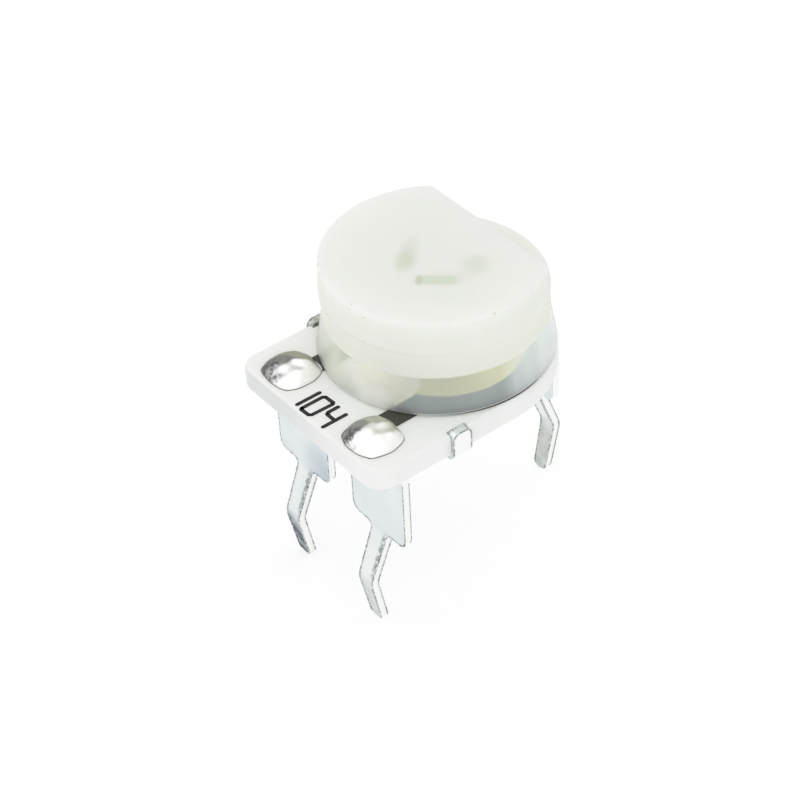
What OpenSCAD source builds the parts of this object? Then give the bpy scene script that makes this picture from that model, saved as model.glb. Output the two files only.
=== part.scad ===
// Single-turn trimmer potentiometer: a ceramic plate with a printed resistive track, three
// stamped terminals for a circuit board, and a translucent cap that turns a sprung wiper.
// Millimetres. z = 0 is the board's surface, where the terminals' shoulders rest on it.
// x = 0 is the plate's middle line, y = 0 runs through the rotor's axis, -y is the front.

/* [Ceramic plate] */
// Width of the plate, and the diameter of its round rear end
plate_w = 8.5; // [8.3:0.1:9.2]
// Ceramic left in front of the solder domes
front_rim = 0.24; // [0.15:0.01:1]
// Thickness of the plate
plate_t = 0.9; // [0.7:0.05:1.2]
// Radius of the two front corners, seen from above
plate_corner_r = 0.85; // [0.5:0.05:1.2]
// Rounding of the plate's upper edge
plate_edge_r = 0.2; // [0.1:0.05:0.25]
// Rounding of the plate's lower edge
plate_foot_r = 0.12; // [0.05:0.01:0.2]
// Distance of the rotor's axis to the left of the plate's middle line
axis_off = 0.4; // [0:0.02:0.42]
// Height of the plate's underside above the board
stand_h = 3.75; // [2.5:0.05:5]

/* [Resistive track] */
// Ceramic left outside the horseshoe track
track_margin = 0.3; // [0.25:0.01:0.35]
// Width of the printed track
track_w = 1.1; // [1:0.01:1.15]
// Thickness of the print
track_t = 0.04; // [0.02:0.01:0.06]
// Open angle of the horseshoe, which faces the front
track_open_angle = 62; // [50:1:70]
// Width of each track end, which runs out to a terminal
tail_w = 0.88; // [0.7:0.02:1]

/* [Cap] */
// Diameter of the cap's upper disc, at its top
cap_d = 8.5; // [8.4:0.02:8.56]
// Radius that the disc gains on its way down
cap_taper = 0.05; // [0:0.01:0.08]
// Thickness of the D-shaped upper disc
knob_t = 1.36; // [1:0.02:1.8]
// Distance of the flat from the rotor's axis
flat_r = 2.53; // [2.2:0.01:3.2]
// Height of the round band under the disc
band_h = 1.05; // [0.8:0.05:1.4]
// Step from the disc's lower edge back to the band
band_step = 0.06; // [0.02:0.01:0.12]
// Height of the hollow under the band
hollow_h = 1.62; // [1.5:0.02:2]
// Radius that the skirt gains on its way down
skirt_flare = 0.26; // [0.2:0.01:0.3]
// Wall of the skirt
skirt_t = 0.4; // [0.3:0.01:0.42]
// Gap between the skirt and the plate
skirt_gap = 0.1; // [0.06:0.01:0.14]
// Rounding of the cap's upper edge
cap_edge_r = 0.14; // [0.05:0.01:0.25]
// Radius of the cap's stem, which turns in the eyelet
stem_r = 0.75; // [0.6:0.01:0.8]
// Height of the stem's staked head
stem_head_h = 0.4; // [0.2:0.05:0.6]

/* [Terminals] */
// Thickness of the terminal sheet
sheet_t = 0.3; // [0.2:0.01:0.35]
// Distance between the two front pins
pin_pitch = 4.6; // [4.5:0.02:4.7]
// Distance between the rows of pins, in the middle of the board
row_pitch = 10; // [9.8:0.02:10.2]
// Distance of the front row behind the middle of the solder domes, in the middle of the board
row_inset = 0.05; // [0:0.01:0.1]
// Thickness of the board that the pins are kinked for
board_t = 1.6; // [0.8:0.1:2]
// Width of a pin where it leaves its blade
pin_w = 0.86; // [0.8:0.02:0.9]
// Width of a pin at its tip
pin_end_w = 0.64; // [0.6:0.02:0.8]
// Length of a pin below the board's surface
pin_len = 4.4; // [3.5:0.05:5.5]
// Distance that a pin's kink stands out
kink_out = 0.8; // [0.4:0.05:1]
// Depth of the kink below the board's surface
kink_drop = 2.2; // [1.8:0.05:2.6]
// Distance that the tip comes back in from the kink
kink_back = 0.55; // [0.2:0.05:0.8]
// Width of a front blade
blade_w = 3.1; // [2.9:0.05:3.3]
// Width of the rear blade
rear_blade_w = 2.4; // [2.3:0.02:2.6]
// Length of the ears that lie under the plate
ear_len = 1.15; // [1:0.05:1.2]
// Width of the tongue that goes up through the plate
tongue_w = 0.8; // [0.5:0.05:0.95]
// Width of the crimped tabs at the plate's long edges
tab_w = 0.8; // [0.6:0.05:0.9]
// Distance of the crimped tabs behind the middle of the solder domes
tab_lag = 2.55; // [2.4:0.01:2.6]
// Distance that a tab stands out of the plate's edge
tab_proud = 0.12; // [0.05:0.01:0.16]
// Width of the collector strip around the eyelet
strip_w = 3.5; // [3.3:0.1:3.8]

/* [Solder] */
// Width of a solder dome
dome_w = 2.1; // [1.9:0.02:2.2]
// Length of a solder dome, from its front to its rear side
dome_l = 2; // [1.86:0.02:2.1]
// Radius of a solder dome's corners, seen from above
dome_corner_r = 0.75; // [0.6:0.01:0.9]
// Height of a solder dome
dome_h = 0.55; // [0.5:0.01:0.7]
// Height of a solder dome at the middle of its sides
dome_side_h = 0.15; // [0.14:0.01:0.18]
// Distance of a solder dome's middle outwards from its pin's
dome_shift = 0.15; // [0.1:0.01:0.2]
// Gap between the skirt and the solder domes
dome_gap = 0.09; // [0.07:0.01:0.2]

/* [Wiper] */
// Thickness of the wiper's sheet
wiper_t = 0.15; // [0.1:0.01:0.16]
// Direction of the wiper's arm, with 90 at the middle of its travel
wiper_angle = 139; // [0:1:180]
// Radius of the wiper's plate
wiper_r = 2.3; // [2.2:0.02:2.4]
// Gap between the skirt and the wing that balances the arm
wing_gap = 0.24; // [0.1:0.01:0.5]
// Angle that the wing spans
wing_span = 64; // [40:2:80]
// Distance of the three tangs from the axis
tang_r = 1.25; // [1.2:0.01:1.3]
// Width of a tang
tang_w = 1.3; // [1:0.05:1.35]
// Length of a tang above the wiper's plate
tang_len = 1.4; // [1:0.05:1.5]
// Width of the arm, with its three fingers
arm_w = 1.5; // [1.2:0.05:1.6]
// Slit between two fingers
slit_w = 0.12; // [0.08:0.01:0.2]
// Distance of the contacts from the skirt
contact_gap = 0.46; // [0.4:0.01:0.5]

/* [Hidden] */
$fn = 96;
// Clearance of a running fit, and between pieces that turn past each other
run_fit = 0.05;
// Clearance of a piece that is only set into another
set_fit = 0.02;
// Distance that a spring contact stays off what it presses on
touch_gap = 0.02;
// Reach of a cutting shape past what it cuts
over = 1;
plate_bottom = stand_h;
plate_top = stand_h + plate_t;
strip_bottom = plate_bottom - sheet_t;
strip_z = strip_bottom + sheet_t / 2;
cap_r = cap_d / 2;
knob_r = cap_r + cap_taper;
band_r = knob_r - band_step;
skirt_r = band_r + skirt_flare;
web_bottom = plate_top + hollow_h;
knob_bottom = web_bottom + band_h;
cap_top = knob_bottom + knob_t;
skirt_bottom = plate_top + skirt_gap;
skirt_in_r = band_r - skirt_t;
contact_r = skirt_in_r - contact_gap;
track_r2 = plate_w / 2 - track_margin;
track_r1 = track_r2 - track_w;
track_start = track_open_angle / 2 - 90;
// Each tail leaves its end of the horseshoe a third of the way across it
tail_x = (track_r1 + track_w / 3) * cos(track_start);
tail_root_y = (track_r1 + track_w / 4) * sin(track_start);
eyelet_bore_r = stem_r + run_fit;
eyelet_wall = 0.15;
eyelet_r = eyelet_bore_r + eyelet_wall;
eyelet_flange_w = 0.5;
eyelet_flange_r = eyelet_r + eyelet_flange_w;
eyelet_top = plate_top + eyelet_wall;
eyelet_bottom = strip_bottom - eyelet_wall;
stem_head_lip = 0.35;
stem_head_r = stem_r + stem_head_lip;
pin_x = pin_pitch / 2;
dome_x = pin_x + dome_shift;
// The domes stand just clear of the skirt, and the plate's front and the pins go by them
dome_y = sqrt(pow(skirt_r + dome_gap + dome_w / 2, 2) - pow(dome_x - axis_off, 2));
plate_front = dome_y + dome_l / 2 + front_rim;
front_row = dome_y - row_inset;
rear_row = row_pitch - front_row;
// The pins leave the shoulders a little way inside the rows and slope out to their kinks
knee_drop = 0.15;
splay = kink_out * (board_t / 2 - knee_drop) / (kink_drop - knee_drop);
front_blade_y = front_row - splay;
rear_blade_y = rear_row - splay;
blade_corner_r = 0.4;
pin_fillet_r = 0.3;
tip_r = 0.28;
bend_r = 0.3;
kink_bend_r = 0.8;
ear_gap = 0.15;
ear_corner_r = 0.35;
// The blade is whole up to here, and above it only the tongue goes on
ear_split_z = strip_bottom - bend_r;
plug_wall = 0.15;
hole_r = tongue_w / 2 + plug_wall;
tongue_rise = 0.3;
tongue_top = plate_top + tongue_rise;
tab_y = dome_y - tab_lag;
tab_x = plate_w / 2 + tab_proud - sheet_t / 2;
tab_bend_r = 0.28;
tab_corner_r = tab_w / 3;
// The tabs end just below the skirt, which is free to pass over them
tab_top = skirt_bottom - set_fit;
wiper_top = web_bottom;
wiper_bottom = wiper_top - wiper_t;
wiper_hole_gap = 0.2;
wiper_hole_r = stem_r + wiper_hole_gap;
wing_r = skirt_in_r - wing_gap;
wing_lap = 0.3;
arm_root = 0.1;
finger_tip = 0.3;
finger_bend_r = 0.15;
tang_angles = [90, 180, 270];
slot_depth = tang_len + run_fit;

// Points of an arc about c from angle a to angle b, in n steps
function arc(c, r, a, b, n = 8) = [for (i = [0 : n]) c + r * [cos(a + (b - a) * i / n), sin(a + (b - a) * i / n)]];

function unit(v) = v / norm(v);

// A path's points with the corner at b, between a and c, rounded to the radius r
function soft_corner(a, b, c, r, n = 6) =
  let (u = unit(a - b), v = unit(c - b), half = acos(u * v) / 2)
  let (d = r / tan(half), m = b + unit(u + v) * r / sin(half))
  let (p = b + u * d - m, q = b + v * d - m)
  let (s = atan2(p.y, p.x), t = atan2(q.y, q.x))
  let (turn = t - s > 180 ? t - s - 360 : t - s < -180 ? t - s + 360 : t - s)
  arc(m, r, s, s + turn, n);

// A path with all its inner corners rounded
function soft_path(p, r) = [
  p[0],
  for (i = [1 : len(p) - 2]) each soft_corner(p[i - 1], p[i], p[i + 1], r),
  p[len(p) - 1]
];

// Unit normal of a path at point i
function path_normal(p, i) =
  let (a = p[max(i - 1, 0)], b = p[min(i + 1, len(p) - 1)], d = unit(b - a))
  [-d.y, d.x];

// Outline of a strip of thickness t whose middle follows the path p
function strip_outline(p, t) = concat(
  [for (i = [0 : len(p) - 1]) p[i] + path_normal(p, i) * t / 2],
  [for (i = [len(p) - 1 : -1 : 0]) p[i] - path_normal(p, i) * t / 2]
);

// A strip bent along a path in y and z, and w wide about x = 0
module bent_strip(p, t, w) {
  rotate([90, 0, 90])
    translate([0, 0, -w / 2])
      linear_extrude(w) polygon(strip_outline(p, t));
}

// An outline in x and z, made solid over the depth from y1 to y2
module stamped(y1, y2) {
  translate([0, y2, 0])
    rotate([90, 0, 0])
      linear_extrude(y2 - y1) children();
}

module rounded_square(x1, x2, y1, y2, r) {
  translate([x1 + r, y1]) square([x2 - x1 - 2 * r, y2 - y1]);
  translate([x1, y1 + r]) square([x2 - x1, y2 - y1 - 2 * r]);
  for (x = [x1 + r, x2 - r], y = [y1 + r, y2 - r]) translate([x, y]) circle(r);
}

module at_axis() {
  translate([-axis_off, 0, 0]) children();
}

// Section of the plate from its middle out to the distance r, with both edges rounded
module plate_section(r) {
  translate([0, plate_bottom]) square([r - plate_edge_r, plate_t]);
  translate([0, plate_bottom + plate_foot_r]) square([r, plate_t - plate_foot_r - plate_edge_r]);
  translate([0, plate_bottom]) square([r - plate_foot_r, plate_foot_r]);
  translate([r - plate_edge_r, plate_top - plate_edge_r]) circle(plate_edge_r);
  translate([r - plate_foot_r, plate_bottom + plate_foot_r]) circle(plate_foot_r);
}

module plate_blank() {
  half_w = plate_w / 2;
  corner_x = half_w - plate_corner_r;
  corner_y = plate_front - plate_corner_r;
  rotate_extrude(angle = 180) plate_section(half_w);
  for (side = [0, 1]) mirror([side, 0, 0]) {
    stamped(-corner_y, 0) plate_section(half_w);
    translate([corner_x, -corner_y, 0]) rotate([0, 0, -90]) rotate_extrude(angle = 90) plate_section(plate_corner_r);
  }
  translate([-corner_x, 0, 0])
    rotate([90, 0, 90])
      linear_extrude(2 * corner_x) mirror([1, 0]) plate_section(plate_front);
}

module ceramic_plate() {
  color("white")
    difference() {
      plate_blank();
      at_axis() translate([0, 0, plate_bottom - over]) cylinder(r = eyelet_r + set_fit, h = plate_t + 2 * over);
      for (x = [-pin_x, pin_x])
        translate([x, -front_blade_y, plate_bottom - over]) cylinder(r = hole_r, h = plate_t + 2 * over);
      for (side = [0, 1]) mirror([side, 0, 0]) tab_notch();
    }
}

// Cut in the plate's long edge, in which a tab stands with room for its bend
module tab_notch() {
  x = tab_x - tab_bend_r;
  w = tab_w + 2 * set_fit;
  translate([x, -tab_y - w / 2, plate_bottom - over]) cube([plate_w, w, plate_t + 2 * over]);
}

// The print: a horseshoe, with an end that runs to each front terminal
module resistive_track() {
  color("darkslategray")
    translate([0, 0, plate_top])
      difference() {
        union() {
          rotate([0, 0, track_start])
            rotate_extrude(angle = 360 - track_open_angle)
              translate([track_r1, 0]) square([track_w, track_t]);
          for (side = [0, 1])
            mirror([side, 0, 0])
              translate([tail_x, -dome_y, 0]) cube([tail_w, dome_y + tail_root_y, track_t]);
        }
        for (side = [0, 1])
          mirror([side, 0, 0])
            translate([0, 0, -over]) linear_extrude(2 * over) dome_plan(set_fit);
      }
}

// Plan of the right-hand solder dome, larger all round by grow
module dome_plan(grow) {
  x = dome_w / 2 + grow;
  y = dome_l / 2 + grow;
  translate([dome_x, -dome_y]) rounded_square(-x, x, -y, y, dome_corner_r + grow);
}

// Outline of a blade with its shoulders on the board, and the pin below them
module blade_outline(x1, x2, px, top) {
  c = blade_corner_r;
  f = pin_fillet_r;
  root = pin_w / 2 + f;
  end = pin_end_w / 2 - tip_r;
  polygon(concat(
    [[x1, top]],
    arc([x1 + c, c], c, 180, 270),
    arc([px - root, -f], f, 90, 0),
    arc([px - end, tip_r - pin_len], tip_r, 180, 270),
    arc([px + end, tip_r - pin_len], tip_r, 270, 360),
    arc([px + root, -f], f, 180, 90),
    arc([x2 - c, c], c, 270, 360),
    [[x2, top]]
  ));
}

// Path of a blade and its kinked pin, from the height top down, with y pointing outwards
function pin_path(y, top) = soft_path([
  [y, top],
  [y, -knee_drop],
  [y + kink_out, -kink_drop],
  [y + kink_out - kink_back, -pin_len - over / 2]
], kink_bend_r);

// The right-hand terminal: a blade with a tongue up through the plate and two ears under it
module front_terminal() {
  x1 = pin_x - blade_w / 2;
  x2 = pin_x + blade_w / 2;
  y = front_blade_y;
  mirror([0, 1, 0]) {
    intersection() {
      translate([pin_x, 0, 0]) bent_strip(pin_path(y, tongue_top), sheet_t, blade_w + over);
      stamped(y - over, y + 2 * over) {
        blade_outline(x1, x2, pin_x, ear_split_z);
        translate([pin_x - tongue_w / 2, ear_split_z - over]) square([tongue_w, tongue_top - ear_split_z + over]);
      }
    }
    for (ear = [[x1, pin_x - tongue_w / 2 - ear_gap], [pin_x + tongue_w / 2 + ear_gap, x2]])
      intersection() {
        translate([(ear[0] + ear[1]) / 2, 0, 0])
          bent_strip(soft_path([
            [y, ear_split_z],
            [y, strip_z],
            [y - ear_len, strip_z]
          ], bend_r - sheet_t / 2), sheet_t, ear[1] - ear[0]);
        translate([0, 0, ear_split_z - over])
          linear_extrude(bend_r + sheet_t + over)
            rounded_square(ear[0], ear[1], y - ear_len, y + over, ear_corner_r);
      }
  }
}

module terminal_left() {
  color("silver") mirror([1, 0, 0]) front_terminal();
}

module terminal_right() {
  color("silver") front_terminal();
}

// A solder dome with the plug that fills the hole round the tongue
module solder_joint() {
  crown_h = dome_h - dome_side_h;
  ball_r = (pow(dome_w / 2, 2) + pow(crown_h, 2)) / (2 * crown_h);
  difference() {
    union() {
      intersection() {
        translate([dome_x, -dome_y, plate_top + dome_h - ball_r]) sphere(ball_r);
        translate([0, 0, plate_top]) linear_extrude(dome_h) dome_plan(0);
      }
      translate([pin_x, -front_blade_y, plate_bottom])
        cylinder(r = hole_r - set_fit, h = plate_t + dome_side_h / 2);
    }
    translate([pin_x - tongue_w / 2, -front_blade_y - sheet_t / 2, plate_bottom - over])
      cube([tongue_w, sheet_t, tongue_top - plate_bottom + over]);
  }
}

module solder_left() {
  color("lightsteelblue") mirror([1, 0, 0]) solder_joint();
}

module solder_right() {
  color("lightsteelblue") solder_joint();
}

// The wiper's terminal: a strip under the plate that ends in the rear pin
module rear_strip() {
  y = rear_blade_y;
  intersection() {
    bent_strip(concat(
      [[-tab_y, strip_z]],
      soft_corner([0, strip_z], [y, strip_z], [y, 0], bend_r),
      pin_path(y, strip_z - 2 * bend_r)
    ), sheet_t, strip_w + 2 * axis_off);
    union() {
      stamped(y - 2 * bend_r, y + 2 * over) blade_outline(-rear_blade_w / 2, rear_blade_w / 2, 0, strip_z + over);
      translate([0, 0, strip_bottom - over]) linear_extrude(sheet_t + 2 * over) strip_plan(y - bend_r);
    }
  }
}

// Plan of the strip: wide round the eyelet, and the rear blade's width from there on
module strip_plan(y) {
  translate([-rear_blade_w / 2, -tab_y]) square([rear_blade_w, y + tab_y]);
  at_axis() {
    circle(strip_w / 2);
    translate([-strip_w / 2, -tab_y]) square([strip_w, tab_y]);
  }
}

// The bar across the plate's underside, whose round-ended tabs stand up in the plate's notches
module crimp_bar() {
  path = soft_path([
    [-tab_x, tab_top],
    [-tab_x, strip_z],
    [tab_x, strip_z],
    [tab_x, tab_top]
  ], tab_bend_r);
  intersection() {
    stamped(-tab_y - tab_w, tab_w - tab_y) polygon(strip_outline(path, sheet_t));
    rotate([90, 0, 90])
      translate([0, 0, -plate_w])
        linear_extrude(2 * plate_w)
          rounded_square(-tab_y - tab_w / 2, tab_w / 2 - tab_y, strip_bottom - over, tab_top, tab_corner_r);
  }
}

module collector_terminal() {
  color("silver")
    difference() {
      union() {
        rear_strip();
        crimp_bar();
      }
      at_axis() translate([0, 0, strip_bottom - over]) cylinder(r = eyelet_r + set_fit, h = sheet_t + 2 * over);
    }
}

module pivot_eyelet() {
  color("gainsboro")
    at_axis()
      rotate_extrude()
        polygon([
          [eyelet_bore_r, eyelet_bottom],
          [eyelet_flange_r, eyelet_bottom],
          [eyelet_flange_r, strip_bottom],
          [eyelet_r, strip_bottom],
          [eyelet_r, plate_top],
          [eyelet_flange_r, plate_top],
          [eyelet_flange_r, eyelet_top],
          [eyelet_bore_r, eyelet_top]
        ]);
}

// The contact arm, along x from the wiper's plate out and down to the track
module wiper_arm() {
  contact_z = plate_top + track_t + touch_gap + wiper_t / 2;
  plate_z = wiper_bottom + wiper_t / 2;
  path = soft_path([
    [wiper_hole_r + wiper_t, plate_z],
    [wiper_r - arm_root, plate_z],
    [contact_r, contact_z],
    [contact_r + finger_tip, contact_z + finger_tip]
  ], finger_bend_r);
  difference() {
    stamped(-arm_w / 2, arm_w / 2) polygon(strip_outline(path, wiper_t));
    for (side = [-1, 1])
      translate([wiper_r, side * arm_w / 6 - slit_w / 2, plate_top - over])
        cube([wiper_r, slit_w, hollow_h + 2 * over]);
  }
}

module wiper_spring() {
  color("goldenrod")
    at_axis()
      rotate([0, 0, wiper_angle])
        difference() {
          union() {
            translate([0, 0, wiper_bottom]) cylinder(r = wiper_r, h = wiper_t);
            translate([0, 0, wiper_bottom])
              rotate([0, 0, 180 - wing_span / 2])
                rotate_extrude(angle = wing_span)
                  translate([wiper_r - wing_lap, 0]) square([wing_r - wiper_r + wing_lap, wiper_t]);
            wiper_arm();
            for (a = tang_angles)
              rotate([0, 0, a])
                translate([tang_r - wiper_t / 2, -tang_w / 2, wiper_bottom])
                  cube([wiper_t, tang_w, wiper_t + tang_len]);
          }
          translate([0, 0, wiper_bottom - over]) cylinder(r = wiper_hole_r, h = wiper_t + 2 * over);
        }
}

// Section of the cap, from the axis out
module cap_section() {
  lean = atan2(cap_taper, knob_t);
  polygon(concat(
    [[0, knob_bottom], [knob_r, knob_bottom]],
    arc([cap_r - cap_edge_r, cap_top - cap_edge_r], cap_edge_r, lean, 90, 6),
    [[0, cap_top]]
  ));
}

module rotor_cap() {
  head_top = eyelet_bottom - run_fit;
  head_bottom = head_top - stem_head_h;
  slot_w = tang_w + 2 * set_fit;
  slot_t = wiper_t + 2 * set_fit;
  color("ivory")
    at_axis()
      difference() {
        union() {
          difference() {
            rotate_extrude() cap_section();
            translate([-cap_d, flat_r, knob_bottom]) cube([2 * cap_d, cap_d, knob_t + over]);
          }
          translate([0, 0, web_bottom]) cylinder(r = band_r, h = band_h);
          rotate_extrude()
            polygon([
              [skirt_in_r, web_bottom],
              [band_r, web_bottom],
              [skirt_r, skirt_bottom],
              [skirt_r - skirt_t, skirt_bottom]
            ]);
          translate([0, 0, head_bottom]) cylinder(r = stem_r, h = web_bottom - head_bottom);
          translate([0, 0, head_bottom]) cylinder(r = stem_head_r, h = stem_head_h);
        }
        rotate([0, 0, wiper_angle])
          for (a = tang_angles)
            rotate([0, 0, a])
              translate([tang_r - slot_t / 2, -slot_w / 2, web_bottom - over])
                cube([slot_t, slot_w, over + slot_depth]);
      }
}

ceramic_plate();
resistive_track();
terminal_left();
terminal_right();
solder_left();
solder_right();
collector_terminal();
pivot_eyelet();
wiper_spring();
rotor_cap();
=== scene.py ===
import math

import bmesh
import bpy
from mathutils import Matrix, Vector, noise


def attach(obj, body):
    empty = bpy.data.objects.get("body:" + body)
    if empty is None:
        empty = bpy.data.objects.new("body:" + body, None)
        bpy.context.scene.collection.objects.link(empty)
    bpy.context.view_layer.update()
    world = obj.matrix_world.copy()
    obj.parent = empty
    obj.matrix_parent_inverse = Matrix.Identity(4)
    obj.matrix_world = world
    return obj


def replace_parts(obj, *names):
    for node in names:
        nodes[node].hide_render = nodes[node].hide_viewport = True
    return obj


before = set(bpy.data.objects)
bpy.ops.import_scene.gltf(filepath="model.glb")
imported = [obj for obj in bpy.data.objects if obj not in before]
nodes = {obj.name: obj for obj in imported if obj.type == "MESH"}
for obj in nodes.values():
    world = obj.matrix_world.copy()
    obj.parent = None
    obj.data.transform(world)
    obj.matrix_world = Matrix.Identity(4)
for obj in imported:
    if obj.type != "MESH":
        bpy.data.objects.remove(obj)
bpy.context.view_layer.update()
MM = 0.001

# Sizes of the part, as in its source, in millimetres and degrees
PLATE_TOP = 4.65
PLATE_BOTTOM = 3.75
AXIS_X = -0.4
WEB_Z = PLATE_TOP + 1.62
KNOB_Z = WEB_Z + 1.05
CAP_TOP = KNOB_Z + 1.36
CAP_R = 4.25
SKIRT_R = 4.5
SKIRT_INNER_R = 3.84
SKIRT_FOOT = PLATE_TOP + 0.1
TRACK_INNER_R = 2.85
TRACK_START = -59
DOME_X = 2.45
DOME_Y = -5.254
DOME_SIZE = (1.05, 1.0, 0.55)
FRONT_PIN_X = 2.3
REAR_PIN_X = 0
KINK_Z = -2.2
PIN_TIP_Z = -4.4
FLOOR_Z = PIN_TIP_Z - 0.02

# Places of the looks, in millimetres
RIM_INNER_R = 3.88
RIM_OUTER_R = 4.09
SKIRT_REFLECTION_R = 3.9
TAB_X = -3
NO_PIN_X = 9
PIN_BURR_TOP = -0.32
PIN_BURR_FOOT = PIN_TIP_Z + 0.1
BLADE_BURR_TOP = PLATE_BOTTOM - 0.7
DOME_GAP = 0.04
INK_LINE = 0.16
INK_THICK = 0.006
INK_Z = PLATE_TOP + 0.001

# Tones of the surfaces
CERAMIC_DULL = (0.91, 0.915, 0.905)
CERAMIC_WHITE = (0.94, 0.945, 0.935)
CERAMIC_FRONT_SHADE = (0.66, 0.68, 0.67)
CERAMIC_DUST = (0.3, 0.3, 0.29)
OLIVE_CAP_SHADE = (0.74, 0.72, 0.36)
FILM_DARK = (0.034, 0.034, 0.026)
FILM_GREY = (0.062, 0.062, 0.048)
FILM_SKIRT_REFLECTION = (0.005, 0.085, 0.1)
FILM_RIM = (0.05, 0.05, 0.04)
INK_BLACK = (0.006, 0.006, 0.008)
INK_GREY = (0.016, 0.015, 0.02)
TIN_GREY = (0.76, 0.8, 0.81)
TIN_PALE = (0.83, 0.865, 0.865)
TIN_SHADED = (0.5, 0.58, 0.63)
TIN_PIN = (0.9, 0.92, 0.91)
TIN_WORN = (0.2, 0.23, 0.21)
TIN_CUT = (0.96, 0.965, 0.955)
TAB_DARK_GRAINS = (0.3, 0.32, 0.26)
TIP_SHADE_LEFT = (0.02, 0.05, 0.08)
TIP_SHADE_RIGHT = (0.42, 0.47, 0.44)
TIP_SHADE_REAR = (0.4, 0.43, 0.38)
BURR_DARK = (0.16, 0.18, 0.17)
BURR_GREY = (0.46, 0.49, 0.47)
BURR_BRIGHT = (0.86, 0.88, 0.88)
SOLDER_HIGHLIGHT = (0.96, 0.96, 0.955)
SOLDER_CRUMB = (0.07, 0.06, 0.07)
SOLDER_FOOT = (0.16, 0.15, 0.12)
BRASS_DARK = (0.52, 0.46, 0.24)
BRASS_PALE = (0.74, 0.67, 0.42)
SEAM_SHADE = (0.5, 0.52, 0.4)
CAP_SPECK = (0.42, 0.42, 0.34)
SKIRT_TINT = (1, 0.975, 0.88, 1)
WEB_GLOW = (1, 1, 0.96, 1)
HAZE_COOL = (0.83, 0.965, 0.9)
HAZE_SHADE = (0.74, 0.78, 0.68)
HAZE_LIT = (0.93, 0.99, 0.86)
MILKY_SCATTER = (1.0, 1.0, 0.85)
CERAMIC_SCATTER = (1.0, 1.0, 0.9)


def mm(x, y, z):
    return Vector((x, y, z)) * MM


# Materials


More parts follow.
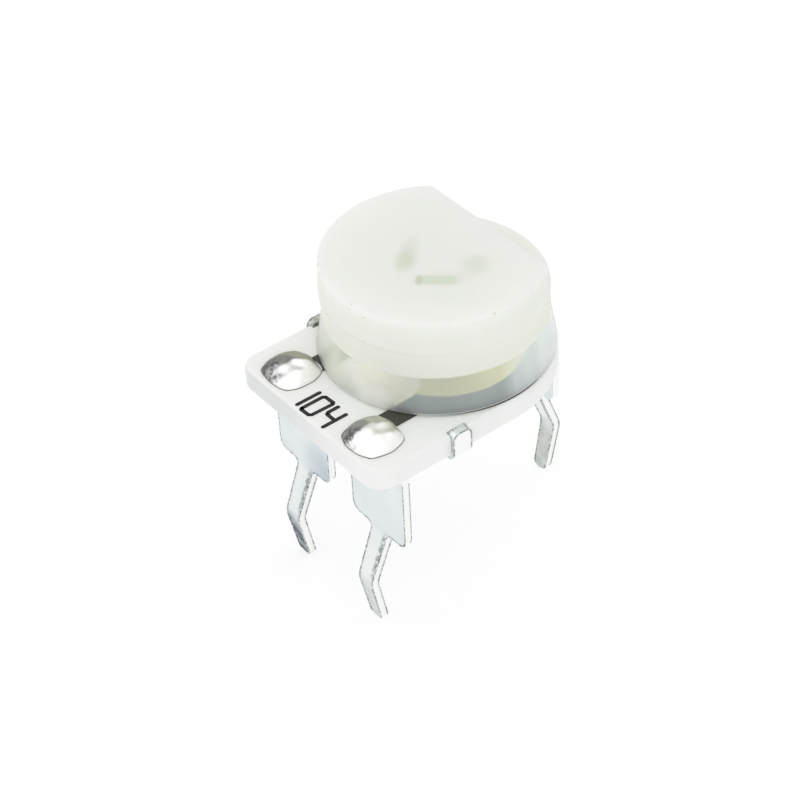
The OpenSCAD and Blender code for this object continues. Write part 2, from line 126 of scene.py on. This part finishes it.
class Nodes:
    """A material's node tree, with short calls for the nodes used here."""

    def __init__(self, name):
        self.mat = bpy.data.materials.new(name)
        self.mat.use_nodes = True
        self.tree = self.mat.node_tree
        self.tree.nodes.clear()
        self.out = self.add("ShaderNodeOutputMaterial")
        self.coord = self.add("ShaderNodeTexCoord").outputs["Object"]

    def add(self, kind, **props):
        n = self.tree.nodes.new(kind)
        for k, v in props.items():
            setattr(n, k, v)
        return n

    def link(self, a, b):
        self.tree.links.new(a, b)

    def put(self, sock, value):
        if isinstance(value, bpy.types.NodeSocket):
            self.link(value, sock)
        else:
            sock.default_value = value

    def shader(self, **inputs):
        n = self.add("ShaderNodeBsdfPrincipled")
        for k, v in inputs.items():
            self.put(n.inputs[k.replace("_", " ")], v)
        return n

    def math(self, op, a, b=0.0, clamp=False):
        n = self.add("ShaderNodeMath", operation=op, use_clamp=clamp)
        self.put(n.inputs[0], a)
        self.put(n.inputs[1], b)
        return n.outputs[0]

    def times(self, first, *more):
        """Product of two or more values."""
        for value in more:
            first = self.math("MULTIPLY", first, value)
        return first

    def noise(self, scale, detail=3.0, rough=0.5):
        n = self.add("ShaderNodeTexNoise")
        self.link(self.coord, n.inputs["Vector"])
        n.inputs["Scale"].default_value = scale
        n.inputs["Detail"].default_value = detail
        n.inputs["Roughness"].default_value = rough
        return n.outputs["Fac"]

    def wander(self, value, reach):
        """A value from 0..1, centred on 0 and stretched to `reach` from end to end."""
        return self.times(self.math("SUBTRACT", value, 0.5), reach)

    def ramp(self, fac, *stops):
        """Colour ramp. Each stop is (position, colour or grey)."""
        n = self.add("ShaderNodeValToRGB")
        self.link(fac, n.inputs["Fac"])
        els = n.color_ramp.elements
        while len(els) < len(stops):
            els.new(0.5)
        for el, (pos, col) in zip(els, stops):
            el.position = pos
            c = (col, col, col) if not isinstance(col, tuple) else col
            el.color = (*c, 1.0)
        return n.outputs["Color"]

    def span(self, value, a, b, c=0.0, d=1.0):
        """value from a..b taken smoothly to c..d."""
        n = self.add("ShaderNodeMapRange", interpolation_type="SMOOTHSTEP")
        self.put(n.inputs["Value"], value)
        for k, v in zip(("From Min", "From Max", "To Min", "To Max"), (a, b, c, d)):
            n.inputs[k].default_value = v
        return n.outputs["Result"]

    def span_mm(self, place, a, b, c=0.0, d=1.0):
        """As span, for a place in the piece with its limits in millimetres."""
        return self.span(place, a * MM, b * MM, c, d)

    def span_deg(self, turn, a, b):
        """As span, for an angle with its limits in degrees."""
        return self.span(turn, math.radians(a), math.radians(b))

    def mix(self, fac, a, b):
        n = self.add("ShaderNodeMix", data_type="RGBA")
        self.put(n.inputs[0], fac)
        for sock, v in ((n.inputs[6], a), (n.inputs[7], b)):
            self.put(sock, v if isinstance(v, bpy.types.NodeSocket) else (*v, 1.0))
        return n.outputs[2]

    def split(self, vector):
        n = self.add("ShaderNodeSeparateXYZ")
        self.link(vector, n.inputs[0])
        return n.outputs

    def bump(self, shader, height, strength, distance):
        n = self.add("ShaderNodeBump")
        n.inputs["Strength"].default_value = strength
        n.inputs["Distance"].default_value = distance
        self.link(height, n.inputs["Height"])
        self.link(n.outputs["Normal"], shader.inputs["Normal"])

    def length(self, x, y):
        return self.math("SQRT", self.math("ADD", self.times(x, x), self.times(y, y)))

    def normal(self):
        """The surface's normal in the piece's own frame."""
        geo = self.add("ShaderNodeNewGeometry")
        turn = self.add(
            "ShaderNodeVectorTransform", vector_type="NORMAL", convert_from="WORLD", convert_to="OBJECT",
        )
        self.link(geo.outputs["Normal"], turn.inputs[0])
        return self.split(turn.outputs[0])

    def sector(self, turn, start, full, ending, gone):
        """Mask of a range of angles: it rises from start to full and falls from ending to gone."""
        return self.times(self.span_deg(turn, start, full), self.span_deg(turn, gone, ending))

    def patch(self, centre, half, angle, soft, oval=True):
        """Mask of a turned oval or oblong on the cap, about the rotor's axis, in millimetres."""
        place = self.add("ShaderNodeMapping", vector_type="TEXTURE")
        place.inputs["Location"].default_value = mm(centre[0] + AXIS_X, centre[1], 0)
        place.inputs["Rotation"].default_value = (0, 0, math.radians(angle))
        place.inputs["Scale"].default_value = mm(half[0], half[1], 1000)
        self.link(self.coord, place.inputs["Vector"])
        x, y, _ = self.split(place.outputs[0])
        if oval:
            reach = self.length(x, y)
        else:
            reach = self.math("MAXIMUM", self.math("ABSOLUTE", x), self.math("ABSOLUTE", y))
        return self.span(reach, 1 - soft, 1 + soft, 1, 0)

    def mix_shaders(self, fac, a, b):
        n = self.add("ShaderNodeMixShader")
        self.put(n.inputs[0], fac)
        self.link(a.outputs[0], n.inputs[1])
        self.link(b.outputs[0], n.inputs[2])
        return n

    def done(self, shader):
        self.link(shader.outputs[0], self.out.inputs["Surface"])
        return self.mat


def use(obj, mat):
    obj.data.materials.clear()
    obj.data.materials.append(mat)


def ceramic_material():
    """White ceramic, with olive painted shade in the horseshoe, painted shade on its front side, and the
    film's thin rim round it.
    """
    n = Nodes("glazed_white_ceramic")
    x, y, z = n.split(n.coord)
    col = n.ramp(n.noise(600, 4), (0.35, CERAMIC_DULL), (0.7, CERAMIC_WHITE))
    r = n.length(x, y)
    turn = n.math("ARCTAN2", y, x)
    right = n.span_deg(turn, TRACK_START - 1, TRACK_START + 1)
    left = n.span_deg(turn, -179 - TRACK_START, -181 - TRACK_START)
    beside_front = n.math("MAXIMUM", right, left)
    top = n.span_mm(z, PLATE_TOP - 0.02, PLATE_TOP - 0.01)
    inside = n.span_mm(r, TRACK_INNER_R - 0.05, TRACK_INNER_R + 0.1, 1, 0)
    # Olive painted shade on the plate inside the track, where light comes yellowish through the cap.
    col = n.mix(n.times(inside, top, beside_front), col, OLIVE_CAP_SHADE)
    rim = n.times(
        n.span_mm(r, RIM_INNER_R, RIM_INNER_R + 0.05), n.span_mm(r, RIM_OUTER_R, RIM_OUTER_R - 0.04),
    )
    col = n.mix(n.times(rim, top, beside_front), col, FILM_RIM)
    # Painted shade on the plate's front side, stronger towards the left.
    front_shade = n.times(n.span(n.normal()[1], -0.5, -0.9), n.span_mm(x, 3.2, -2))
    col = n.mix(n.times(front_shade, 0.6), col, CERAMIC_FRONT_SHADE)
    foot = n.span_mm(z, PLATE_BOTTOM + 0.12, PLATE_BOTTOM + 0.02)
    dust = n.times(foot, n.span(n.noise(5200, 3), 0.56, 0.66))
    col = n.mix(n.times(dust, 0.55), col, CERAMIC_DUST)
    s = n.shader(
        Base_Color=col, Roughness=0.4, Subsurface_Weight=0.25, Subsurface_Scale=0.0004,
        Subsurface_Radius=CERAMIC_SCATTER,
    )
    n.bump(s, n.noise(9000, 2), 0.12, 0.00003)
    return n.done(s)


def track_material():
    """Black film, with a painted bluish reflection where the skirt covers it, and olive painted shade over
    its inner edge.
    """
    n = Nodes("resistive_film")
    grain = n.noise(8000, 3)
    col = n.ramp(grain, (0.3, FILM_DARK), (0.75, FILM_GREY))
    x, y, _ = n.split(n.coord)
    r = n.length(x, y)
    # Painted bluish reflection on the film under the skirt.
    col = n.mix(n.span_mm(r, SKIRT_REFLECTION_R + 0.05, SKIRT_REFLECTION_R), col, FILM_SKIRT_REFLECTION)
    # Olive painted shade over the film's inner edge, with a wavy border.
    uneven_r = n.math("ADD", r, n.times(n.noise(1500, 3), 0.1 * MM))
    col = n.mix(n.span_mm(uneven_r, TRACK_INNER_R + 0.36, TRACK_INNER_R + 0.22), col, OLIVE_CAP_SHADE)
    s = n.shader(Base_Color=col, Roughness=0.6)
    n.bump(s, grain, 0.3, 0.00001)
    return n.done(s)


def ink_material():
    n = Nodes("printed_ink")
    col = n.ramp(n.noise(7000, 2), (0.3, INK_BLACK), (0.8, INK_GREY))
    return n.done(n.shader(Base_Color=col, Roughness=0.7))


def tin_material(name, pin_x, tip, tip_shade_share, shaded=0.0):
    """Tin-plated sheet: pale faces, whiter cuts, a worn line beside the pin's right edge, painted shade on
    the tip.

    The pin's tip below the kink takes the painted shade `tip` by the share `tip_shade_share`, and the
    blade's lower right corner has painted shade by the share `shaded`.
    """
    n = Nodes(name)
    x, y, z = n.split(n.coord)
    cut = n.span(n.math("ABSOLUTE", n.normal()[0]), 0.6, 0.8)
    face = n.ramp(n.noise(900, 4), (0.3, TIN_GREY), (0.7, TIN_PALE))
    corner = n.times(n.span_mm(x, pin_x - 0.5, pin_x + 1.3), n.span_mm(z, 2.2, 0.6))
    face = n.mix(n.times(corner, shaded), face, TIN_SHADED)
    on_pin = n.span_mm(z, 0.1, -0.4)
    face = n.mix(n.times(on_pin, 0.5), face, TIN_PIN)
    grain = n.noise(5200, 4, 0.65)
    across = n.math("ADD", n.math("SUBTRACT", x, pin_x * MM), n.wander(grain, 0.3 * MM))
    right_edge = n.times(n.span_mm(across, 0.16, 0.34), n.span_mm(z, KINK_Z - 0.1, KINK_Z + 0.7))
    worn = n.times(right_edge, on_pin, n.span(grain, 0.36, 0.54))
    face = n.mix(n.times(worn, 0.8), face, TIN_WORN)
    # Painted shade on the pin below the kink, in blotches.
    below_kink = n.span_mm(z, KINK_Z + 0.3, KINK_Z - 0.5)
    blotch = n.span(n.noise(1700, 5, 0.6), 0.38, 0.62, 0.55, 1)
    face = n.mix(n.times(below_kink, blotch, tip_shade_share), face, tip)
    col = n.mix(cut, face, TIN_CUT)
    # The left tab darker, in grains.
    left_tab = n.times(n.span_mm(z, PLATE_BOTTOM + 0.1, PLATE_BOTTOM + 0.3), n.span_mm(x, TAB_X, TAB_X - 1))
    col = n.mix(n.times(left_tab, n.span(grain, 0.35, 0.6, 0.3, 0.85)), col, TAB_DARK_GRAINS)
    s = n.shader(Base_Color=col, Metallic=0.6, Roughness=0.4)
    n.bump(s, n.noise(3500, 4), 0.2, 0.00002)
    return n.done(s)


def burr_material():
    """The torn line along a stamped edge: dark grains with bright metal between them."""
    n = Nodes("stamping_burr")
    col = n.ramp(n.noise(7500, 5, 0.7), (0.36, BURR_DARK), (0.5, BURR_GREY), (0.62, BURR_BRIGHT))
    return n.done(n.shader(Base_Color=col, Metallic=0.3, Roughness=0.6))


def solder_material():
    """Solder: a painted highlight where it faces the front right and warm grey painted shade behind, with a
    dark foot.
    """
    n = Nodes("solder")
    x, y, z = n.split(n.coord)
    nx, ny, _ = n.normal()
    # Painted shade on slopes facing the left and the back, painted highlight on the rest; the left dome's
    # shade is darker.
    shade_side = n.math("SUBTRACT", n.times(ny, 0.3), n.times(nx, 1.25))
    shade_side = n.math("ADD", shade_side, n.wander(n.noise(900, 4), 0.4))
    behind = n.span(ny, -0.1, 0.35)
    left = n.mix(behind, (0.2, 0.2, 0.19), (0.3, 0.3, 0.21))
    right = n.mix(behind, (0.26, 0.27, 0.24), (0.54, 0.55, 0.44))
    shade = n.mix(n.span_mm(x, -1, 1), left, right)
    col = n.mix(n.span(shade_side, -0.42, 0.08), SOLDER_HIGHLIGHT, shade)
    low_left = n.times(n.span(ny, -0.12, -0.42), n.span(nx, 0.15, -0.05))
    crumbs = n.times(n.span(n.noise(3400, 5, 0.7), 0.45, 0.54), low_left)
    col = n.mix(n.times(crumbs, 0.9), col, SOLDER_CRUMB)
    col = n.mix(n.span_mm(z, PLATE_TOP + 0.05, PLATE_TOP + 0.015), col, SOLDER_FOOT)
    s = n.shader(Base_Color=col, Metallic=0.4, Roughness=0.42)
    n.bump(s, n.noise(1500, 3), 0.25, 0.00004)
    return n.done(s)


def brass_material():
    n = Nodes("spring_brass")
    cloud = n.noise(1200, 4)
    s = n.shader(
        Base_Color=n.ramp(cloud, (0.3, BRASS_DARK), (0.7, BRASS_PALE)), Metallic=0.8, Roughness=0.4,
    )
    n.bump(s, cloud, 0.2, 0.00002)
    return n.done(s)


def tang_shade_marks():
    """The wiper's tangs, seen through the cap's top as painted shade.

    Each has its centre, half size, angle, softness, whether it is an oval, tone and share.
    """
    return (
        ((-0.52, -0.82), (0.85, 0.3), 130.8, 0.75, True, (0.72, 0.75, 0.66), 0.6),
        ((1.5, -0.62), (0.8, 0.34), 52, 0.8, True, (0.76, 0.79, 0.68), 0.4),
        ((-0.26, -1.12), (0.5, 0.33), 130.8, 0.75, True, (0.66, 0.73, 0.57), 0.65),
        ((1.37, -0.98), (0.7, 0.25), 48.5, 0.3, False, (0.68, 0.75, 0.6), 0.75),
        ((0.95, -1.45), (0.13, 0.26), 48.5, 0.45, True, (0.56, 0.59, 0.44), 0.55),
        ((1.56, 0.66), (0.42, 0.5), 48.8, 0.75, True, (0.7, 0.74, 0.63), 0.5),
    )


def cap_colours(n, z, r):
    """Colour of the cloudy part: lighter on top and darker on the knob's wall as painted light and shade,
    creamier in the band as painted light through it, and the tangs' painted shade.
    """
    cloud = n.noise(500, 4)
    # The top's lighter tone is painted light, the wall's darker tone painted shade, and the band's creamier
    # tone painted light coming through the moulding.
    top = n.ramp(cloud, (0.3, (0.865, 0.88, 0.835)), (0.7, (0.885, 0.895, 0.855)))
    wall = n.ramp(cloud, (0.3, (0.835, 0.855, 0.8)), (0.7, (0.855, 0.87, 0.825)))
    band = n.ramp(cloud, (0.3, (0.85, 0.865, 0.765)), (0.7, (0.87, 0.885, 0.795)))
    col = n.mix(n.span_mm(z, KNOB_Z - 0.6, KNOB_Z + 0.5), band, wall)
    col = n.mix(n.span_mm(z, CAP_TOP - 0.2, CAP_TOP - 0.02), col, top)
    on_top = n.span_mm(z, CAP_TOP - 0.06, CAP_TOP - 0.03)
    # Painted shade of the wiper's tangs on the cap's top.
    for centre, half, angle, soft, oval, tone, share in tang_shade_marks():
        mark = n.patch(centre, half, angle, soft, oval)
        col = n.mix(n.times(mark, on_top, share), col, tone)
    rim = n.times(n.span_mm(r, CAP_R - 0.2, CAP_R - 0.1), n.span_mm(z, CAP_TOP - 0.3, CAP_TOP - 0.2))
    # Painted shade along the step at the knob's foot, with specks along it and along the rim.
    off_step = n.math("ABSOLUTE", n.math("SUBTRACT", z, KNOB_Z * MM))
    upright = n.span(n.normal()[2], 0.6, 0.3)
    step_shade_and_specks = n.times(upright, n.span_mm(off_step, 0.12, 0.05))
    specks = n.times(n.math("MAXIMUM", rim, step_shade_and_specks), n.span(n.noise(3800, 2), 0.64, 0.72))
    col = n.mix(n.times(step_shade_and_specks, 0.16), col, SEAM_SHADE)
    return n.mix(n.times(specks, 0.4), col, CAP_SPECK)


def skirt_shader(n, x, y, z):
    """The clear wall: see-through with a haze, denser at a glance and at its foot, with painted light as
    denser haze in two sectors, paler in one of them, and painted shade as warmer, darker haze in a third.
    """
    see = n.add("ShaderNodeBsdfTransparent")
    see.inputs["Color"].default_value = SKIRT_TINT
    turn = n.math("ARCTAN2", y, x)
    # Painted shade in the first sector; painted light in the other two.
    shaded_sector = n.sector(turn, -160, -130, -92, -79)
    lit_sector = n.sector(turn, -86, -73, -64, -56)
    right_lit_sector = n.sector(turn, -8, 2, 8, 18)
    tone = n.mix(lit_sector, n.mix(shaded_sector, HAZE_COOL, HAZE_SHADE), HAZE_LIT)
    haze = n.shader(
        Base_Color=tone, Roughness=0.4, Subsurface_Weight=0.9, Subsurface_Scale=0.001,
        Subsurface_Radius=MILKY_SCATTER,
    )
    glancing = n.add("ShaderNodeLayerWeight").outputs["Facing"]
    clouded = n.span(glancing, 0.3, 0.58, 0.41, 0.93)
    low = n.span_mm(z, PLATE_TOP + 1.15, PLATE_TOP + 0.5)
    # More haze in the two lit sectors, as painted light.
    for place, more in ((n.times(lit_sector, low), 0.5), (right_lit_sector, 0.22)):
        clouded = n.math("ADD", clouded, n.times(place, more), clamp=True)
    foot = n.span_mm(z, SKIRT_FOOT + 0.06, SKIRT_FOOT + 0.03, 0, 0.9)
    wall = n.mix_shaders(n.math("MAXIMUM", clouded, foot), see, haze)
    shine = n.add("ShaderNodeBsdfGlossy")
    shine.inputs["Roughness"].default_value = 0.2
    fresnel = n.add("ShaderNodeFresnel")
    fresnel.inputs["IOR"].default_value = 1.4
    return n.mix_shaders(fresnel.outputs[0], wall, shine)


def cap_material():
    """Milky moulding: cloudy above the web and in the stem, and clearer in the skirt."""
    n = Nodes("milky_moulding")
    x, y, z = n.split(n.coord)
    x = n.math("SUBTRACT", x, AXIS_X * MM)
    r = n.length(x, y)
    cloudy = n.shader(
        Base_Color=cap_colours(n, z, r), Roughness=0.6, Specular_IOR_Level=0.3, IOR=1.5,
        Subsurface_Weight=0.9, Subsurface_Scale=0.0014, Subsurface_Radius=MILKY_SCATTER,
    )
    n.bump(cloudy, n.noise(2200, 3), 0.08, 0.00003)
    through = n.add("ShaderNodeBsdfTranslucent")
    through.inputs["Color"].default_value = WEB_GLOW
    underside = n.span(n.normal()[2], -0.6, -0.9)
    cloudy = n.mix_shaders(underside, cloudy, through)

    above = n.span_mm(z, WEB_Z - 0.05, WEB_Z + 0.02)
    within = n.span_mm(r, SKIRT_INNER_R - 0.1, SKIRT_INNER_R - 0.2)
    solid = n.math("MAXIMUM", above, within)
    gone = n.add("ShaderNodeBsdfTransparent")
    back_face = n.add("ShaderNodeNewGeometry").outputs["Backfacing"]
    return n.done(n.mix_shaders(back_face, n.mix_shaders(solid, skirt_shader(n, x, y, z), cloudy), gone))


INK = ink_material()
SOLDER = solder_material()
BURR = burr_material()

for name, mat in (
    ("ceramic_plate", ceramic_material()),
    ("resistive_track", track_material()),
    ("terminal_left", tin_material("tinned_left", -FRONT_PIN_X, TIP_SHADE_LEFT, 0.98, 0.85)),
    ("terminal_right", tin_material("tinned_right", FRONT_PIN_X, TIP_SHADE_RIGHT, 0.6)),
    ("collector_terminal", tin_material("tinned_rear", REAR_PIN_X, TIP_SHADE_REAR, 0.7)),
    ("pivot_eyelet", tin_material("tinned_eyelet", NO_PIN_X, TIN_GREY, 0)),
    ("solder_left", SOLDER),
    ("solder_right", SOLDER),
    ("wiper_spring", brass_material()),
    ("rotor_cap", cap_material()),
):
    use(nodes[name], mat)


# Pieces that the visual model adds


def piece(name, bm, mat, smooth=True):
    """A new piece from a bmesh, in place in the frame, that rides on the base."""
    mesh = bpy.data.meshes.new(name)
    bmesh.ops.recalc_face_normals(bm, faces=bm.faces)
    bm.to_mesh(mesh)
    bm.free()
    obj = bpy.data.objects.new(name, mesh)
    bpy.context.scene.collection.objects.link(obj)
    for f in mesh.polygons:
        f.use_smooth = smooth
    use(obj, mat)
    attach(obj, "base")
    return obj


def ink_spot(bm, x, y):
    """A flat round spot of ink."""
    made = bmesh.ops.create_circle(
        bm, cap_ends=True, segments=20, radius=INK_LINE / 2 * MM, matrix=Matrix.Translation(mm(x, y, INK_Z)),
    )
    faces = list({f for v in made["verts"] for f in v.link_faces})
    top = bmesh.ops.extrude_face_region(bm, geom=faces)["geom"]
    top_verts = [v for v in top if isinstance(v, bmesh.types.BMVert)]
    bmesh.ops.translate(bm, verts=top_verts, vec=mm(0, 0, INK_THICK))


def stroke(bm, points):
    """A printed line through points: a flat bar for each stretch, and a round spot at each point."""
    for (x1, y1), (x2, y2) in zip(points, points[1:]):
        d = Vector((x2 - x1, y2 - y1))
        place = Matrix.Translation(mm((x1 + x2) / 2, (y1 + y2) / 2, INK_Z + INK_THICK / 2))
        place @= Matrix.Rotation(math.atan2(d.y, d.x), 4, "Z")
        place @= Matrix.Diagonal((*mm(d.length, INK_LINE, INK_THICK), 1))
        bmesh.ops.create_cube(bm, size=1, matrix=place)
    for x, y in points:
        ink_spot(bm, x, y)


def digits():
    """The plain numbers 1, 0 and 4, in thin strokes on the plate."""
    bm = bmesh.new()
    stroke(bm, [(-0.77, -6.22), (-0.77, -5.21)])
    stroke(bm, [
        (-0.5, -6.21), (-0.45, -6.27), (-0.05, -6.25), (0.03, -6.16), (0.06, -5.24), (0.0, -5.17),
        (-0.42, -5.19), (-0.5, -5.28), (-0.5, -6.21),
    ])
    stroke(bm, [(0.31, -5.18), (0.31, -5.63), (0.38, -5.72), (0.74, -5.72)])
    stroke(bm, [(0.83, -5.22), (0.83, -6.25)])
    piece("printed_digits", bm, INK, smooth=False)


def dome(node, side, seed):
    """A lumpy pool of solder over a terminal's hole, which takes the place of the plain dome.

    It is an oval with slightly square corners, and is kept clear of the skirt.
    """
    bm = bmesh.new()
    bmesh.ops.create_grid(bm, x_segments=56, y_segments=56, size=1)
    a, b, h = DOME_SIZE
    squareness, lumpiness = 0.28, 0.18
    for v in bm.verts:
        u, w = v.co.x, v.co.y
        round_x, round_y = u * math.sqrt(1 - w * w / 2), w * math.sqrt(1 - u * u / 2)
        reach = min(1.0, math.hypot(round_x, round_y))
        x = (1 - squareness) * round_x + squareness * u
        y = (1 - squareness) * round_y + squareness * w
        wave = noise.noise(Vector((x * 2.1, y * 2.1, seed)))
        spread = 1 + 0.04 * wave
        z = h * (1 - reach**2.2) ** 0.7 * (1 + lumpiness * wave)
        spot = Vector((side * DOME_X - AXIS_X + a * x * spread, DOME_Y + b * y * spread))
        if spot.length < SKIRT_R + DOME_GAP:
            spot *= (SKIRT_R + DOME_GAP) / spot.length
        v.co = mm(spot.x + AXIS_X, spot.y, PLATE_TOP + z)
    rim = [e for e in bm.edges if e.is_boundary]
    for g in bmesh.ops.extrude_edge_only(bm, edges=rim)["geom"]:
        if isinstance(g, bmesh.types.BMVert):
            g.co.z = (PLATE_TOP - 0.01) * MM
    bmesh.ops.holes_fill(bm, edges=[e for e in bm.edges if e.is_boundary])
    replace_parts(piece(node + "_lumpy", bm, SOLDER), node)


def burrs(node, name, across, low, high, radius):
    """Torn lines along a stamped piece's edges, between its faces and its cuts.

    A cut is a face whose normal has no part along the axis `across`, which the sheet's faces look along.
    """
    copy = bmesh.new()
    copy.from_mesh(nodes[node].data)
    bmesh.ops.remove_doubles(copy, verts=copy.verts, dist=0.000002)
    bm = bmesh.new()
    for e in copy.edges:
        if len(e.link_faces) != 2:
            continue
        cut_lean, face_lean = sorted(abs(f.normal[across]) for f in e.link_faces)
        mid = (e.verts[0].co + e.verts[1].co) / 2
        if cut_lean > 0.2 or face_lean < 0.7 or not low < mid.z / MM < high:
            continue
        run = e.verts[1].co - e.verts[0].co
        place = Matrix.Translation(mid) @ run.to_track_quat("X", "Z").to_matrix().to_4x4()
        place @= Matrix.Diagonal((run.length + radius * MM, 2 * radius * MM, 2 * radius * MM, 1))
        bmesh.ops.create_cube(bm, size=1, matrix=place)
    copy.free()
    piece(name, bm, BURR, smooth=False)


digits()
dome("solder_left", -1, 3.7)
dome("solder_right", 1, 8.2)
for side in ("left", "right"):
    burrs(f"terminal_{side}", f"burrs_{side}_pin", 1, PIN_BURR_FOOT, PIN_BURR_TOP, 0.022)
    burrs(f"terminal_{side}", f"burrs_{side}_blade", 1, PIN_BURR_TOP, BLADE_BURR_TOP, 0.014)
burrs("collector_terminal", "burrs_rear_pin", 1, PIN_BURR_FOOT, PIN_BURR_TOP, 0.02)
burrs("collector_terminal", "burrs_tabs", 0, PLATE_BOTTOM, PLATE_TOP + 1, 0.02)


# Floor, lamps and camera


def stage():
    """A pale floor under the pins' tips, glowing a little so that it stays plain."""
    bm = bmesh.new()
    bmesh.ops.create_grid(bm, x_segments=2, y_segments=2, size=0.6)
    bmesh.ops.translate(bm, verts=bm.verts, vec=mm(0, 0, FLOOR_Z))
    mesh = bpy.data.meshes.new("floor")
    bm.to_mesh(mesh)
    bm.free()
    floor = bpy.data.objects.new("floor", mesh)
    bpy.context.scene.collection.objects.link(floor)
    n = Nodes("pale_floor")
    tone = n.ramp(n.noise(3), (0.3, 0.97), (0.7, 0.98))
    glow = n.add("ShaderNodeEmission")
    n.link(tone, glow.inputs["Color"])
    glow.inputs["Strength"].default_value = 1.1
    use(floor, n.done(n.mix_shaders(0.3, glow, n.shader(Base_Color=tone, Roughness=0.9))))


def lamp(name, place, size, power, target=(0, 0, 4)):
    data = bpy.data.lights.new(name, "AREA")
    data.shape = "DISK"
    data.size = size
    data.energy = power
    obj = bpy.data.objects.new(name, data)
    obj.location = mm(*place)
    aim = mm(*target) - obj.location
    obj.rotation_euler = aim.to_track_quat("-Z", "Y").to_euler()
    bpy.context.scene.collection.objects.link(obj)


def lights():
    """Three soft lamps in a pale room, which is white where it is seen, reflected or seen through."""
    lamp("key", (120, -80, 130), 0.2, 0.075)
    lamp("fill", (-110, -80, 100), 0.16, 0.04)
    lamp("top", (0, 40, 180), 0.16, 0.05)
    world = bpy.data.worlds.new("studio")
    bpy.context.scene.world = world
    world.use_nodes = True
    t = world.node_tree
    t.nodes.clear()
    path = t.nodes.new("ShaderNodeLightPath")
    seen = path.outputs["Is Camera Ray"]
    for ray in ("Is Glossy Ray", "Is Transmission Ray"):
        either = t.nodes.new("ShaderNodeMath")
        either.operation = "MAXIMUM"
        t.links.new(seen, either.inputs[0])
        t.links.new(path.outputs[ray], either.inputs[1])
        seen = either.outputs[0]
    mix = t.nodes.new("ShaderNodeMixShader")
    t.links.new(seen, mix.inputs[0])
    for slot, strength in ((1, 0.6), (2, 1.0)):
        room = t.nodes.new("ShaderNodeBackground")
        room.inputs["Color"].default_value = (1, 1, 1, 1)
        room.inputs["Strength"].default_value = strength
        t.links.new(room.outputs[0], mix.inputs[slot])
    out = t.nodes.new("ShaderNodeOutputWorld")
    t.links.new(mix.outputs[0], out.inputs["Surface"])


def camera():
    """The photograph's view, fitted to its circles, lines and pins."""
    data = bpy.data.cameras.new("camera")
    data.sensor_width = 36
    data.lens = 100.78
    data.clip_start = 0.001
    data.clip_end = 10
    obj = bpy.data.objects.new("camera", data)
    right = Vector((0.62094, 0.78291, -0.03856))
    up = Vector((-0.49218, 0.42771, 0.75817))
    m = Matrix((right, up, right.cross(up))).transposed().to_4x4()
    m.translation = mm(51.3405 + AXIS_X, -39.8797, 52.7796 + PLATE_TOP)
    obj.matrix_world = m
    bpy.context.scene.collection.objects.link(obj)
    bpy.context.scene.camera = obj


stage()
lights()
camera()
scene = bpy.context.scene
scene.view_settings.view_transform = "Standard"
scene.view_settings.look = "None"
